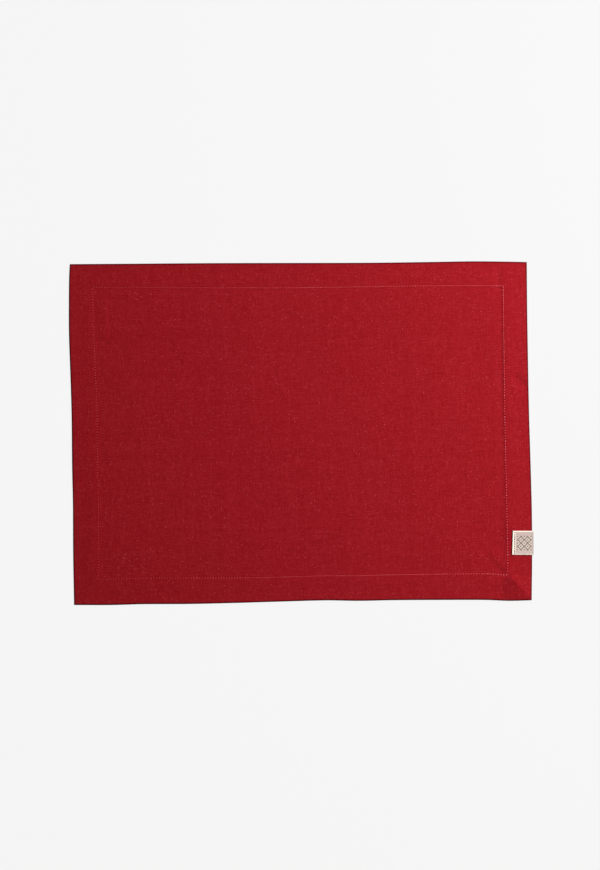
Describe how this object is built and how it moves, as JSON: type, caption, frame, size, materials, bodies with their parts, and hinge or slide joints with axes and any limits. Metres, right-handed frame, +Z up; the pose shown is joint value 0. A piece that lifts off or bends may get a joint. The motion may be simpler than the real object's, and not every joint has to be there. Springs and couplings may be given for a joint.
{
  "type": "placemat",
  "caption": "Rectangular hemmed linen placemat lying flat, with a deep stitched hem, mitred corners and a small folded tape label at one side.",
  "frame": {"origin": "middle of the mat's underside, on the surface it lies on", "axes": "+X along the mat to its right side, where the label is; +Y to its back edge; +Z up from the surface, the right side of the cloth up"},
  "size_m": [0.5084, 0.376, 0.0045],
  "materials": {
    "linen": "plain-woven linen, dyed red, matt",
    "tape": "woven cream cotton tape, matt"
  },
  "bodies": {
    "root": {"mat": "linen", "label": "tape"}
  },
  "joints": []
}
